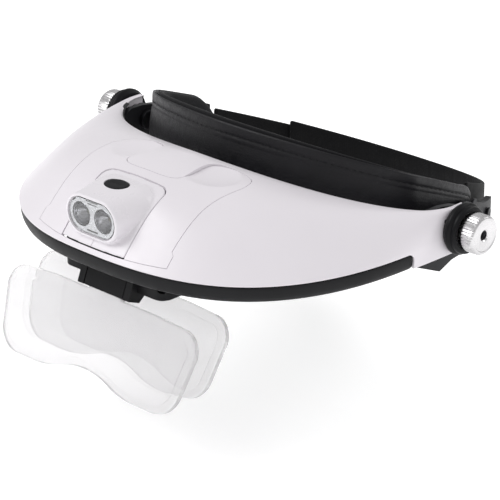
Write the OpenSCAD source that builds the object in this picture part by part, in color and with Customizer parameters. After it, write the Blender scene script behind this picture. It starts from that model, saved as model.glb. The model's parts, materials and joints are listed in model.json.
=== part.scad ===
// Head visor magnifier, in millimetres.
// The origin is the middle of the visor's tilt axis. +X is the wearer's left,
// -Y is the front, where the lamp and lenses are, and +Z is up.

/* [Visor shell] */
// Half width of the shell's lower rim
rim_half_w = 97; // [95:0.5:99]
// Distance from the tilt axis to the front of the rim
rim_depth = 112.4; // [110:0.2:114]
// Wall thickness of the white shell
shell_t = 2; // [1.6:0.1:2.1]
// Distance from the tilt axis to the front edge of the head opening
opening_depth = 53; // [52:0.5:55]
// Height of the shell's top above the tilt axis
top_z = 22.7; // [22:0.1:24]
// Height of the black bumper under the rim
bumper_h = 7.6; // [6:0.2:8]
// Thickness of the black liner inside the shell
liner_t = 1; // [0.8:0.1:1.2]

/* [Lamp and battery module] */
// Width of the pull-off module
module_w = 76.6; // [75:0.2:78]
// Length of the tongue of the shell between the finger scallops
tongue_l = 25; // [20:0.5:27]
// Diameter of one cell
cell_d = 10.4; // [10.2:0.1:10.5]
// Length of one cell
cell_l = 44.4; // [44:0.1:44.6]
// Width of the lamp's base plate
lamp_w = 36.6; // [35:0.2:37.4]
// Slope of the lamp's base plate
lamp_slope = 39.5; // [38.5:0.5:40]
// Radius of the lamp barrel's round ends
barrel_r = 8.9; // [8.7:0.1:9]
// Distance between the two reflectors
led_pitch = 12.8; // [12.4:0.1:12.8]

/* [Lenses] */
// Thickness of one acrylic lens plate
lens_t = 3; // [2.4:0.1:3.2]
// Half width of one lens plate
lens_half_w = 55.8; // [52:0.2:57]
// Forward tilt of the lens plates
lens_tilt = 21.5; // [19:0.5:24]
// Width of the tab that plugs into the holder
tab_w = 19; // [17:0.5:19.5]

/* [Side pivots] */
// Radius of the pivot stud
stud_r = 2; // [1.9:0.05:2.1]
// Radius of the knurled thumb knob
knob_r = 8.4; // [8:0.1:9]
// Outer face of the thumb knob
knob_x = 111.2; // [110.6:0.1:112]
// Radius of the pivot cup
cup_r = 11.1; // [10.9:0.1:11.6]

/* [Headband] */
// Half width of the headband loop
loop_half_w = 74.9; // [73:0.1:76]
// Front depth of the headband loop
loop_front = 39.5; // [38:0.1:40]
// Rear depth of the headband loop
loop_back = 100; // [95:0.5:110]
// Height of the forehead pad
pad_h = 30; // [26:0.5:31]
// Thickness of the foam
foam_t = 5; // [4:0.5:6]
// Height of the two straps
strap_h = 21; // [18:0.5:24]
// Thickness of one strap
strap_t = 1.6; // [1.2:0.1:1.6]

/* [Hidden] */

$fn = 48;
hull_fn = 32;        // facets of a circle inside a hull
scallop_fn = 120;
gap = 0.25;          // gap between two plastic pieces
cut = 1;             // how far a cutter reaches past a face
wide = 200;          // longer than any piece

// Shell: three curves, the rim, a rounded shoulder and the opening's edge, carry one blended profile
rim_pow = 2 / 2.65;
rim_z0 = -3.3;
rim_slope = 0.0352;
rim_lip = 0.6;
nose_out = 3.6;         // how far the rim bulges at the very front, and how far it rises there
nose_up = 2.1;
nose_pow = 16;
shoulder_half_w = rim_half_w - 0.4;
shoulder_depth = 93.2;
shoulder_x_pow = 2 / 2.25;
shoulder_y_pow = 2 / 1.4;
shoulder_z0 = 9.2;
shoulder_z1 = top_z + 1.4;
opening_half_w = rim_half_w - 1.4;
opening_x_pow = 2 / 1.27;
opening_y_pow = 2 / 1.76;
opening_z0 = 8.2;
profile_weight = 2;
arm_split = 7.8;         // angle where the bumper stops and the bare arm starts
arm_tail = 5;            // how far the arms reach behind the tilt axis
arm_low_z = -10.9;
step = 0.25;

// Module and lamp
module_back = 55.5;
module_low_z = -2.95;
tongue_half_w = 15;
liner_gap = 0.2;
hinge_y = -111.6;
hinge_z = -1.1;
knuckle_r = 1.6;
lamp_face = 1.75;
lamp_pin_r = 0.8;
lamp_plate_t = 2;
lamp_plate_l = 31.6;
lamp_corner_r = 8;
barrel_z = 9.6;
barrel_front = -113.9;
barrel_mid = -97;
barrel_back = -89.4;
barrel_wall = 1.5;
bore_l = 23;
barrel_rise = 1.2;
barrel_grow = 1;
lamp_back = -86.9;
button_y = -99.2;
button_tilt = 5.9;
button_z = 19.9;
button_w = 11.8;
button_d = 8.4;
cell_z = 9.9;
cell_y = [-60.9, -71.6, -82.3];
tray_low = 3.2;
rivet_r = 0.9;
boss_low = 7.4;
tray_screw_spots = [[-31, -64, 18.4], [31, -64, 18.4], [-31, -82, 17], [31, -82, 17]]; // x, y, boss top
tray_half_l = 27;
tray_wall = 0.9;

// Lens bracket
front_lens_y = -107.4;
front_lens_z = -28.4;
rear_lens_y = -90.3;
rear_lens_z = -27.4;
bracket_y = -101.8;
bracket_z = -17.6;
lens_pin_r = 1.2;
lens_pin_half_l = 15;
bracket_top = -9.45;
holder_v0 = -13.4;
holder_v1 = -3.4;
holder_t = 5;
lens_top = -2.3;
tab_top = -9.5;

// Headband
front_pow = 2 / 1.75;
back_pow = 2 / 2.21;
loop_z0 = 16.8;
loop_fall = 0.37;
pad_lean = 4;
pad_end_left = -21.9;
pad_end_right = 194.2;
bracket_x = 88.2;
bracket_t = 2.6;
tail_f0 = -15;
tail_f1 = -32;
tail_off = 2.2;
cover_t = 1;
frame_t = 1.6;
layer = 0.15;
band_rivets = [[-18.5, 10, 2.9], [-18.5, 17, 2.9], [-28.5, 14.5, 4.2]]; // loop angle, drop, length inwards
rivet_head_x = 3.85;

function spow(v, p) = sign(v) * pow(abs(v), p);
function plan(a, b, px, py, t) = [a * spow(cos(t), px), -b * pow(max(sin(t), 0), py)];
function reversed(list) = [for (i = [len(list) - 1 : -1 : 0]) list[i]];

// Shell curves at the angle t, moved inwards by o
function rim_pt(t, o, lift) =
    let (p = plan(rim_half_w - o, rim_depth - o, rim_pow, rim_pow, t),
         nose = pow(max(sin(t), 0), nose_pow))
    [p.x, p.y - nose_out * nose, rim_z0 + rim_slope * p.y + nose_up * nose + lift];
function shoulder_pt(t, o) =
    let (p = plan(shoulder_half_w - o, shoulder_depth - 0.6 * o, shoulder_x_pow, shoulder_y_pow, t),
         s = -p.y / shoulder_depth)
    [p.x, p.y, shoulder_z0 + (shoulder_z1 - shoulder_z0) * pow(s, 1.33) - o * s];
function opening_pt(t, o) =
    let (p = plan(opening_half_w - o, opening_depth, opening_x_pow, opening_y_pow, t),
         s = -p.y / opening_depth)
    [p.x, p.y, opening_z0 + (top_z - opening_z0) * pow(s, 2.35) - o * s];
function blend(a, b, c, v) =
    let (k0 = (1 - v) * (1 - v), k1 = 2 * profile_weight * v * (1 - v), k2 = v * v)
    (a * k0 + b * k1 + c * k2) / (k0 + k1 + k2);
function shell_pt(t, v, o) = blend(rim_pt(t, o, rim_lip), shoulder_pt(t, o), opening_pt(t, o), v);

// Stations along the shell: [angle, shift back]
arm_stations = [[0, arm_tail], [0, 0], [2.5, 0], [5, 0], [arm_split - step, 0], [arm_split + step, 0]];
mid_stations = [for (t = [12 : 4 : 168]) [t, 0]];
shell_stations = concat(arm_stations, mid_stations,
    reversed([for (s = arm_stations) [180 - s[0], s[1]]]));
profile_steps = [for (v = [0 : 0.125 : 1]) v];

function low_z(t, z) = abs(t - 90) > 90 - arm_split ? arm_low_z : z;
function shell_row(s, o, low) =
    let (r = rim_pt(s[0], o, 0))
    concat([[r.x, r.y + s[1], low ? low_z(s[0], r.z) : r.z + rim_lip / 2]],
           [for (v = profile_steps) shell_pt(s[0], v, o) + [0, s[1], 0]]);

// A curved sheet between two grids of points
module sheet(outer, inner) {
    ns = len(outer);
    nv = len(outer[0]);
    function at(side, s, v) = (side * ns + s) * nv + v;
    quads = concat(
        [for (s = [0 : ns - 2], v = [0 : nv - 2])
            [at(0, s, v), at(0, s + 1, v), at(0, s + 1, v + 1), at(0, s, v + 1)]],
        [for (s = [0 : ns - 2], v = [0 : nv - 2])
            [at(1, s, v + 1), at(1, s + 1, v + 1), at(1, s + 1, v), at(1, s, v)]],
        [for (s = [0 : ns - 2]) [at(0, s + 1, 0), at(0, s, 0), at(1, s, 0), at(1, s + 1, 0)]],
        [for (s = [0 : ns - 2])
            [at(0, s, nv - 1), at(0, s + 1, nv - 1), at(1, s + 1, nv - 1), at(1, s, nv - 1)]],
        [for (v = [0 : nv - 2]) [at(0, 0, v), at(0, 0, v + 1), at(1, 0, v + 1), at(1, 0, v)]],
        [for (v = [0 : nv - 2])
            [at(0, ns - 1, v + 1), at(0, ns - 1, v), at(1, ns - 1, v), at(1, ns - 1, v + 1)]]);
    polyhedron(
        points = concat([for (row = outer) each row], [for (row = inner) each row]),
        faces = [for (q = quads) each [[q[0], q[1], q[2]], [q[0], q[2], q[3]]]]);
}

// A bar through a list of rings, each ring a convex loop of points
module loft(rings) {
    n = len(rings[0]);
    last = len(rings) - 1;
    quads = [for (s = [0 : last - 1], k = [0 : n - 1])
        [s * n + (k + 1) % n, s * n + k, (s + 1) * n + k, (s + 1) * n + (k + 1) % n]];
    polyhedron(
        points = [for (r = rings) each r],
        faces = concat(
            [[for (k = [0 : n - 1]) k]],
            [[for (k = [n - 1 : -1 : 0]) last * n + k]],
            [for (q = quads) each [[q[0], q[1], q[2]], [q[0], q[2], q[3]]]]));
}

module along_x(x0, x1) {
    translate([x0, 0, 0]) rotate([90, 0, 90]) linear_extrude(x1 - x0) children();
}

module rod_x(x0, x1, r) {
    translate([x0, 0, 0]) rotate([0, 90, 0]) cylinder(h = x1 - x0, r = r);
}

module box_span(x0, x1, y0, y1, z0, z1) {
    translate([x0, y0, z0]) cube([x1 - x0, y1 - y0, z1 - z0]);
}

module left_right() {
    children();
    mirror([1, 0, 0]) children();
}

// ---------- Visor ----------

// The window that the module fills: the middle of the brim without the shell's tongue
module module_window(grow) {
    half = module_w / 2 + grow;
    difference() {
        box_span(-half, half, -wide, -module_back + grow, module_low_z - grow, wide);
        box_span(-tongue_half_w + grow, tongue_half_w - grow,
            -module_back - tongue_l + grow, wide, -wide, wide);
    }
}

module scallops() {
    scallop_x = 26;
    scallop_y = -65;
    scallop_r = 70;
    scallop_low = 19.7;
    left_right() translate([scallop_x, scallop_y, scallop_low + scallop_r])
        sphere(r = scallop_r, $fn = scallop_fn);
}

module visor_shell() {
    hub_hole_r = 5.2;
    color("white") difference() {
        sheet([for (s = shell_stations) shell_row(s, 0, true)],
              [for (s = shell_stations) shell_row(s, shell_t, true)]);
        module_window(0);
        rod_x(-wide, wide, hub_hole_r);
        left_right() cup_rivet_places() rod_x(0, wide, rivet_r + 0.04);
    }
}

module inner_liner() {
    liner_out = shell_t + liner_gap;
    clear = 1.2;
    stations = [for (t = [12 : 4 : 168]) [t, 0]];
    color([0.08, 0.08, 0.09]) difference() {
        sheet([for (s = stations) shell_row(s, liner_out, false)],
              [for (s = stations) shell_row(s, liner_out + liner_t, false)]);
        box_span(-module_w / 2 - clear, module_w / 2 + clear, -wide, -module_back + clear,
            -wide, wide);
    }
}

// One cross section of the bumper: a band that turns in under the rim
bumper_section = [[0.5, -0.15], [5, -0.15], [6.2, -bumper_h], [3.8, -bumper_h], [0.8, -3.5]];
function bumper_ring(t) = [for (q = bumper_section) rim_pt(t, q[0], q[1])];

module rim_bumper() {
    lug_half_w = 32;
    lug_front = -111.5;
    lug_back = -94;
    lug_low = -9.4;
    lug_h = 3;
    shank_r = 1.15;
    color([0.1, 0.1, 0.11]) difference() {
        union() {
            loft([for (t = concat([arm_split + 2 * step], [for (a = [12 : 4 : 168]) a],
                [180 - arm_split - 2 * step])) bumper_ring(t)]);
            box_span(-lug_half_w, lug_half_w, lug_front, lug_back, lug_low, lug_low + lug_h);
        }
        bracket_screw_places() cylinder(h = wide, r = shank_r, center = true);
    }
}

module bracket_screw_places() {
    screw_x = 24.5;
    screw_y = -98.5;
    for (x = [-screw_x, screw_x]) translate([x, screw_y, 0]) children();
}

module pivot_cup() {
    cup_x0 = 98.4;
    cup_x1 = 103.4;
    hub_x0 = 91.7;
    hub_r = 4.9;
    recess_r = 7.4;
    recess_d = 2.4;
    face_r = cup_r - 1;
    rotate([0, 90, 0]) rotate_extrude() polygon([
        [stud_r + 0.08, hub_x0], [hub_r, hub_x0], [hub_r, cup_x0], [cup_r, cup_x0],
        [cup_r, cup_x0 + 3], [face_r, cup_x1], [recess_r, cup_x1], [recess_r, cup_x1 - recess_d],
        [stud_r + 0.08, cup_x1 - recess_d]]);
}

// Three small rivets hold each cup to its arm
module cup_rivet_places() {
    ring_r = 8.6;
    for (a = [150, 205, 260]) rotate([a, 0, 0]) translate([0, ring_r, 0]) children();
}

module cup_rivets() {
    head_x = 92.8;
    cup_rivet_places() {
        rod_x(head_x + 0.8, 100, rivet_r);
        rod_x(head_x, head_x + 1, 2 * rivet_r);
    }
}

module pivot_cup_left() { color([0.07, 0.07, 0.08]) difference() { pivot_cup(); cup_rivets(); } }
module pivot_cup_right() { mirror([1, 0, 0]) pivot_cup_left(); }
module cup_rivets_left() { color("silver") cup_rivets(); }
module cup_rivets_right() { mirror([1, 0, 0]) cup_rivets_left(); }

// ---------- Lens bracket, holder and lenses ----------

// Puts a drawing of [across, down the lens] onto a lens plane
module lens_plane(y, z) {
    translate([0, y, z]) rotate([-lens_tilt, 0, 0]) rotate([-90, 0, 0]) children();
}

// The plate's outline: rounded corners, a shallow nose notch between two lobes, and the tab
module lens_outline() {
    top_r = 9.5;
    low_r = 12.5;
    low_half_w = lens_half_w - 2.8;
    plate_h = 35.3;
    notch_v = 29.8;
    notch_r = 41;
    lobe_x = 30;
    lobe_r = 43.6;
    difference() {
        hull() {
            for (x = [-1, 1]) {
                translate([x * (lens_half_w - top_r), lens_top + top_r + 0.8]) circle(top_r);
                translate([x * (low_half_w - low_r), plate_h - low_r]) circle(low_r);
            }
            translate([-lobe_x, lens_top]) square([2 * lobe_x, 1]);
        }
        difference() {
            union() {
                translate([0, notch_v + notch_r]) circle(notch_r);
                translate([-lobe_x, plate_h - 2.8]) square([2 * lobe_x, 20]);
            }
            for (x = [-lobe_x, lobe_x]) translate([x, plate_h - lobe_r]) circle(lobe_r);
        }
    }
    translate([-tab_w / 2, tab_top]) square([tab_w, 10]);
}

module lens(y, z) {
    color([0.85, 0.88, 0.9, 0.4]) lens_plane(y, z)
        translate([0, 0, -lens_t / 2]) linear_extrude(lens_t) lens_outline();
}

module front_lens() { lens(front_lens_y, front_lens_z); }
module rear_lens() { lens(rear_lens_y, rear_lens_z); }

// The slot that a lens tab slides into
module tab_slot(y, z) {
    slack = 0.15;
    lens_plane(y, z) translate([-tab_w / 2 - slack, tab_top - slack, -lens_t / 2 - slack])
        cube([tab_w + 2 * slack, 20, lens_t + 2 * slack]);
}

// The same plane seen from the side, as a drawing of [away from the front, up the lens]
module lens_side(y, z) {
    translate([y, z]) rotate(-lens_tilt) children();
}

module lens_bracket() {
    body_half_w = 30;
    body_front = -103.3;
    body_back = -84;
    end_r = 5;
    ear_x0 = 11.8;
    ear_x1 = 15.2;
    ear_foot = 4;
    ear_root = 10;
    ear_top = 30;
    room_back = -98;
    room_top = -12.6;
    low = -21.8;
    head_z = -13.2;
    screw_bore_r = 1.15;
    head_bore_r = 2.3;
    color([0.12, 0.12, 0.13]) difference() {
        union() {
            difference() {
                translate([0, 0, low]) linear_extrude(bracket_top - low) hull()
                    for (s = [-1, 1], y = [body_front + end_r, body_back - end_r])
                        translate([s * (body_half_w - end_r), y]) circle(end_r);
                // Room for the holder between the ears
                box_span(-ear_x0, ear_x0, -wide, room_back, low - cut, room_top);
            }
            left_right() along_x(ear_x0, ear_x1) intersection() {
                lens_side(front_lens_y, front_lens_z) polygon([
                    [-holder_t / 2, -holder_v1], [ear_foot, -holder_v1], [ear_root, -holder_v0],
                    [ear_root, ear_top], [-holder_t / 2, ear_top]]);
                translate([-wide, -wide]) square([wide + room_back + 2, wide + bracket_top]);
            }
        }
        tab_slot(rear_lens_y, rear_lens_z);
        rod_holes();
        bracket_screw_places() translate([0, 0, -wide]) cylinder(h = 2 * wide, r = screw_bore_r);
        bracket_screw_places() translate([0, 0, -wide]) cylinder(h = wide + head_z, r = head_bore_r);
    }
}

module rod_holes() {
    translate([0, bracket_y, bracket_z]) rod_x(-wide, wide, lens_pin_r + 0.02);
}

module bracket_screws() {
    color("dimgray") bracket_screw_places() {
        translate([0, 0, -13.2]) cylinder(h = 6.4, r = 1.1);
        translate([0, 0, -14.8]) cylinder(h = 1.6, r = 2.1);
    }
}

module lens_hinge_pin() {
    color("silver") translate([0, bracket_y, bracket_z]) rod_x(-lens_pin_half_l, lens_pin_half_l, lens_pin_r);
}

module front_lens_holder() {
    half = 11.4;
    knuckle = 3.2;
    color([0.12, 0.12, 0.13]) difference() {
        along_x(-half, half) difference() {
            union() {
                translate([bracket_y, bracket_z]) circle(knuckle);
                lens_side(front_lens_y, front_lens_z)
                    translate([-holder_t / 2, -holder_v1]) square([holder_t, holder_v1 - holder_v0]);
            }
            translate([bracket_y, bracket_z]) circle(lens_pin_r + 0.06);
        }
        tab_slot(front_lens_y, front_lens_z);
    }
}

// ---------- Battery module ----------

module module_cover() {
    half = module_w / 2 - gap;
    lamp_half = lamp_w / 2 + gap;
    ear_t = 1.8;
    ear_l = 4;
    boss_r = 2.4;
    rows = [for (t = [56 : 2 : 124]) [t, 0]];
    color("white") difference() {
        union() {
            intersection() {
                sheet([for (s = rows) shell_row(s, 0, false)], [for (s = rows) shell_row(s, shell_t, false)]);
                difference() {
                    box_span(-half, half, -wide, -module_back - gap, module_low_z + gap, wide);
                    box_span(-tongue_half_w - gap, tongue_half_w + gap,
                        -module_back - tongue_l - gap, wide, -wide, wide);
                    box_span(-lamp_half, lamp_half, -wide, lamp_back, -wide, wide);
                }
            }
            for (b = tray_screw_spots) translate([b[0], b[1], boss_low])
                cylinder(h = b[2] - boss_low, r = boss_r);
            // Ears that hold the ends of the lamp's hinge pin
            left_right() {
                translate([0, hinge_y, hinge_z]) rod_x(lamp_half, lamp_half + ear_t, knuckle_r);
                box_span(lamp_half, lamp_half + ear_t, hinge_y, hinge_y + ear_l,
                    hinge_z - knuckle_r, hinge_z + 1);
            }
        }
        scallops();
        tray_screw_places() cylinder(h = 13.5, r = 0.95);
        translate([0, hinge_y, hinge_z]) rod_x(-wide, wide, lamp_pin_r + 0.02);
    }
}

module tray_screw_places() {
    for (b = tray_screw_spots) translate([b[0], b[1], 0]) children();
}

module battery_tray() {
    room_r = cell_d / 2 + 0.2;
    room_half_l = tray_half_l - tray_wall;
    shell_r = room_r + tray_wall;
    flange_z = 5.8;
    flange_t = 1.4;
    color([0.15, 0.15, 0.16]) difference() {
        union() {
            for (y = cell_y) translate([0, y, cell_z]) rod_x(-tray_half_l, tray_half_l, shell_r);
            box_span(-tray_half_l, tray_half_l, cell_y[2] - shell_r, cell_y[0] + shell_r, tray_low, cell_z);
            tray_screw_places() translate([0, 0, flange_z]) cylinder(h = flange_t, r = 2.6);
            left_right() box_span(tray_half_l - 1, 31, -83.5, -62.5, flange_z, flange_z + flange_t);
        }
        for (y = cell_y) {
            translate([0, y, cell_z]) rod_x(-room_half_l, room_half_l, room_r);
            box_span(-room_half_l, room_half_l, y - room_r, y + room_r, tray_low - cut, cell_z);
        }
        tray_screw_places() cylinder(h = wide, r = 1.15, center = true);
    }
}

module tray_screws() {
    color("silver") tray_screw_places() {
        translate([0, 0, 5.7]) cylinder(h = 7.4, r = 0.9);
        translate([0, 0, 4.2]) cylinder(h = 1.5, r = 2);
    }
}

// Cells point one way and then the other: dir is the side of the positive end
module cell(y, dir) {
    nub_r = 2.6;
    nub_l = 0.9;
    shift = dir * 1.4;
    translate([shift, y, cell_z]) {
        rod_x(-cell_l / 2 + nub_l * (1 - dir) / 2, cell_l / 2 - nub_l * (1 + dir) / 2, cell_d / 2);
        rod_x(-cell_l / 2, cell_l / 2, nub_r);
    }
}

module battery_cell_1() { color([0.8, 0.6, 0.2]) cell(cell_y[0], 1); }
module battery_cell_2() { color([0.8, 0.6, 0.2]) cell(cell_y[1], -1); }
module battery_cell_3() { color([0.8, 0.6, 0.2]) cell(cell_y[2], 1); }

// A conical spring bears on each flat end
module contact_springs() {
    back_x = tray_half_l - tray_wall - 0.5;
    free_x = cell_l / 2 - 1.4;
    color("silver") for (i = [0 : 2]) translate([0, cell_y[i], cell_z]) mirror([i == 1 ? 1 : 0, 0, 0])
        for (k = [0 : 3]) translate([-back_x + k * (back_x - free_x - 0.45) / 4, 0, 0])
            rotate([0, 90, 0]) difference() {
                cylinder(h = (back_x - free_x - 0.45) / 4, r = 3.6 - 0.35 * k);
                translate([0, 0, -cut]) cylinder(h = 5, r = 2.8 - 0.35 * k);
            }
}

module contact_plates() {
    plate_t = 0.35;
    plate_half = 3.6;
    bump_r = 1.8;
    plate_x = tray_half_l - tray_wall - 0.4;
    bump_x = cell_l / 2 + 1.4;
    color("silver") for (i = [0 : 2], s = [-1, 1]) scale([s, 1, 1]) {
        box_span(plate_x, plate_x + plate_t, cell_y[i] - plate_half, cell_y[i] + plate_half,
            cell_z - plate_half, cell_z + plate_half);
        if ((i == 1 ? -1 : 1) == s) translate([0, cell_y[i], cell_z])
            rod_x(bump_x + 0.05, plate_x + 0.1, bump_r);
    }
}

module battery_lid() {
    lid_top = tray_low - 0.3;
    lid_t = 1.4;
    half = 26;
    rib = 1.6;
    color([0.15, 0.15, 0.16]) difference() {
        union() {
            box_span(-half, half, -88.4, -54.9, lid_top - lid_t, lid_top);
            box_span(-5, 5, -55.2, -53.6, lid_top - lid_t, lid_top);
        }
        for (k = [0 : 3]) box_span(-6, 6, -61 + rib * k, -60.2 + rib * k, -cut, lid_top - lid_t + 0.5);
    }
}

// ---------- Lamp ----------

// Frame of the lamp's sloping base: x across, y up the slope, z out of the plate
module lamp_base_frame() {
    translate([0, hinge_y, hinge_z]) rotate([lamp_slope, 0, 0]) children();
}

// A flat slab with round ends, its thickness along the barrel
module stadium(r, t) {
    rotate([90, 0, 0]) linear_extrude(t, center = true) hull()
        for (x = [-1, 1]) translate([x * (led_pitch / 2 - 0.4), 0]) circle(r);
}

// The barrel swells a little towards its middle and sinks into the top of the plate
module barrel() {
    hull() {
        translate([0, barrel_front + 0.5, barrel_z]) stadium(barrel_r, 1, $fn = hull_fn);
        translate([0, barrel_mid, barrel_z + barrel_rise]) stadium(barrel_r + barrel_grow, 1, $fn = hull_fn);
        translate([0, barrel_back, barrel_z + 2]) stadium(barrel_r - 1, 1, $fn = hull_fn);
    }
}

module barrel_bore() {
    translate([0, barrel_front + bore_l / 2 - cut, barrel_z]) stadium(barrel_r - barrel_wall, bore_l);
}

module lamp_plate() {
    lamp_base_frame() {
        translate([0, 0, lamp_face - lamp_plate_t]) linear_extrude(lamp_plate_t) {
            translate([-lamp_w / 2, 0]) square([lamp_w, lamp_plate_l - lamp_corner_r]);
            translate([-lamp_w / 2 + lamp_corner_r, 0]) square([lamp_w - 2 * lamp_corner_r, lamp_plate_l]);
            for (s = [-1, 1]) translate([s * (lamp_w / 2 - lamp_corner_r), lamp_plate_l - lamp_corner_r])
                circle(lamp_corner_r);
        }
        rod_x(-lamp_w / 2, lamp_w / 2, knuckle_r);
    }
}

module button_place() {
    translate([0, button_y, button_z]) rotate([button_tilt, 0, 0]) children();
}

module oval(w, d) {
    polygon([for (a = [0 : 9 : 351]) [w / 2 * cos(a), d / 2 * sin(a)]]);
}

module lamp_housing() {
    color("white") difference() {
        union() {
            lamp_plate();
            difference() {
                barrel();
                lamp_base_frame() translate([-wide / 2, -wide / 2, lamp_face - lamp_plate_t - wide + 0.3])
                    cube(wide);
            }
        }
        barrel_bore();
        lamp_base_frame() rod_x(-wide, wide, lamp_pin_r + 0.06);
        button_place() translate([0, 0, -6]) linear_extrude(12) oval(button_w + 0.5, button_d + 0.5);
    }
}

module lamp_hinge_pin() {
    color("silver") lamp_base_frame() rod_x(-lamp_w / 2 - 1.9, lamp_w / 2 + 1.9, lamp_pin_r);
}

module led_places() {
    for (s = [-1, 1]) translate([s * led_pitch / 2, 0, barrel_z]) children();
}

// A turned piece whose axis points forwards: the profile is [radius, distance behind the front face]
module turned(y, profile) {
    translate([0, y, 0]) rotate([-90, 0, 0]) rotate_extrude() polygon(profile);
}

module lamp_window() {
    color([0.9, 0.93, 0.95, 0.35]) translate([0, barrel_front + 0.8, barrel_z])
        stadium(barrel_r - barrel_wall - 0.3, 0.5);
}

module lamp_bezel() {
    color("gainsboro") difference() {
        translate([0, barrel_front + 1.7, barrel_z]) stadium(barrel_r - barrel_wall - 0.3, 1);
        led_places() rotate([90, 0, 0]) cylinder(h = 2 * wide, r = 4.95, center = true);
    }
}

module reflectors() {
    color("silver") led_places() turned(barrel_front + 2.3,
        [[5.2, 0], [5.2, 1], [2.4, 5.4], [1.75, 5.4], [1.75, 4.8], [4.8, 0]]);
}

module leds() {
    color([0.95, 0.95, 0.85]) led_places() {
        turned(barrel_front + 4.6, [[0, 0], [0.8, 0.25], [1.3, 0.8], [1.5, 1.6], [1.5, 4], [0, 4]]);
    }
}

module led_board() {
    color("darkgreen") translate([0, barrel_front + 9.3, barrel_z]) stadium(barrel_r - barrel_wall - 1, 1.2);
}

module switch_board() {
    color("darkgreen") box_span(-6, 6, -103, -94, 10.8, 12);
}

module switch_body() {
    color([0.1, 0.1, 0.1]) {
        box_span(-3, 3, -101.6, -95.6, 12, 15.6);
        translate([0, button_y, 15.4]) cylinder(h = 1, r = 1.5);
    }
}

module switch_button() {
    color([0.08, 0.08, 0.09]) button_place() {
        translate([0, 0, -2]) linear_extrude(2.4) oval(button_w, button_d);
        translate([0, 0, -2.55]) cylinder(h = 1, r = 1.2);
    }
}

// ---------- Headband ----------

// The loop's plan at the angle f: 0 is the left side, 90 the front, below 0 or past 180 the back
function loop_plan(f, o) = sin(f) >= 0
    ? [(loop_half_w + o) * spow(cos(f), front_pow), -(loop_front + o) * pow(sin(f), front_pow)]
    : [(loop_half_w + o) * spow(cos(f), back_pow), (loop_back + o) * pow(-sin(f), back_pow)];

// A point on the band, moved outwards by o and down from the top edge by h
function band_pt(f, o, h, z0, fall) =
    let (p = loop_plan(f, o)) [p.x, p.y, z0 - fall * p.y - h];
function band_ring(f, out, inn, top, low, lean, z0, fall) =
    let (k = lean * max(sin(f), 0) / pad_h) [
    band_pt(f, out + k * low, low, z0, fall), band_pt(f, out + k * top, top, z0, fall),
    band_pt(f, inn + k * top, top, z0, fall), band_pt(f, inn + k * low, low, z0, fall)];

// A band from the angle f0 to f1: out and inn are its faces, top and low its edges
module band(f0, f1, out, inn, top, low, lean = pad_lean, z0 = loop_z0, fall = loop_fall) {
    pieces = ceil((f1 - f0) / 4.5);
    loft([for (i = [0 : pieces]) band_ring(f0 + (f1 - f0) * i / pieces, out, inn, top, low, lean, z0, fall)]);
}

module pad_cover() {
    color([0.1, 0.1, 0.11]) difference() {
        band(pad_end_left, pad_end_right, 0, -cover_t, 0, pad_h);
        left_right() band_rivet_set(false);
    }
}

module headband_frame() {
    out = -cover_t - layer;
    color([0.14, 0.14, 0.15]) difference() {
        band(pad_end_left + 1.5, pad_end_right - 1.5, out, out - frame_t, 3, pad_h - 3);
        left_right() band_rivet_set(false);
    }
}

module forehead_pad() {
    out = -cover_t - frame_t - 2 * layer;
    color([0.1, 0.1, 0.11]) band(pad_end_left, pad_end_right, out, out - foam_t, 1, pad_h - 1);
}

// Each side bracket runs from the pivot back to the loop and then along its outside
function tail_path() =
    let (a = [bracket_x, 5.5], b = [bracket_x, 20], c = loop_plan(tail_f0, tail_off))
    concat([[bracket_x, -18], [bracket_x, -9], [bracket_x, -2]],
        [for (v = [0 : 0.2 : 0.8]) a * (1 - v) * (1 - v) + b * 2 * v * (1 - v) + c * v * v],
        [for (f = [tail_f0 : -3.4 : tail_f1]) loop_plan(f, tail_off)]);
function bracket_high(y) = lookup(y, [[-18, 3], [-9, 7.2], [2, 7.2], [25, -1.2], [50, -11.5]]);
function bracket_low(y) = lookup(y, [[-18, -14.7], [-2, -21.6], [7, -18], [60, -22]]);
function tail_ring(p, n) = let (q = n * bracket_t / 2) [
    [p.x + q.x, p.y + q.y, bracket_low(p.y)], [p.x + q.x, p.y + q.y, bracket_high(p.y)],
    [p.x - q.x, p.y - q.y, bracket_high(p.y)], [p.x - q.x, p.y - q.y, bracket_low(p.y)]];
function unit(v) = v / norm(v);

module bracket_plate() {
    path = tail_path();
    last = len(path) - 1;
    difference() {
        loft(reversed([for (i = [0 : last])
            let (d = unit(path[min(i + 1, last)] - path[max(i - 1, 0)]))
            tail_ring(path[i], [d.y, -d.x])]));
        rod_x(0, wide, stud_r + 0.05);
        band_rivet_set(false);
    }
}

module side_bracket_left() { color([0.2, 0.2, 0.21]) bracket_plate(); }
module side_bracket_right() { mirror([1, 0, 0]) side_bracket_left(); }

module pivot_stud_left() {
    head_x = bracket_x - bracket_t / 2 - 0.05;
    color("silver") {
        rod_x(head_x - 2.4, head_x, 4.5);
        rod_x(head_x - 0.1, knob_x - 1.4, stud_r);
    }
}
module pivot_stud_right() { mirror([1, 0, 0]) pivot_stud_left(); }

module friction_washer_left() {
    x0 = bracket_x + bracket_t / 2 + 0.05;
    color("dimgray") difference() {
        rod_x(x0, x0 + 1.8, 6.5);
        rod_x(0, wide, stud_r + 0.1);
    }
}
module friction_washer_right() { mirror([1, 0, 0]) friction_washer_left(); }

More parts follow.
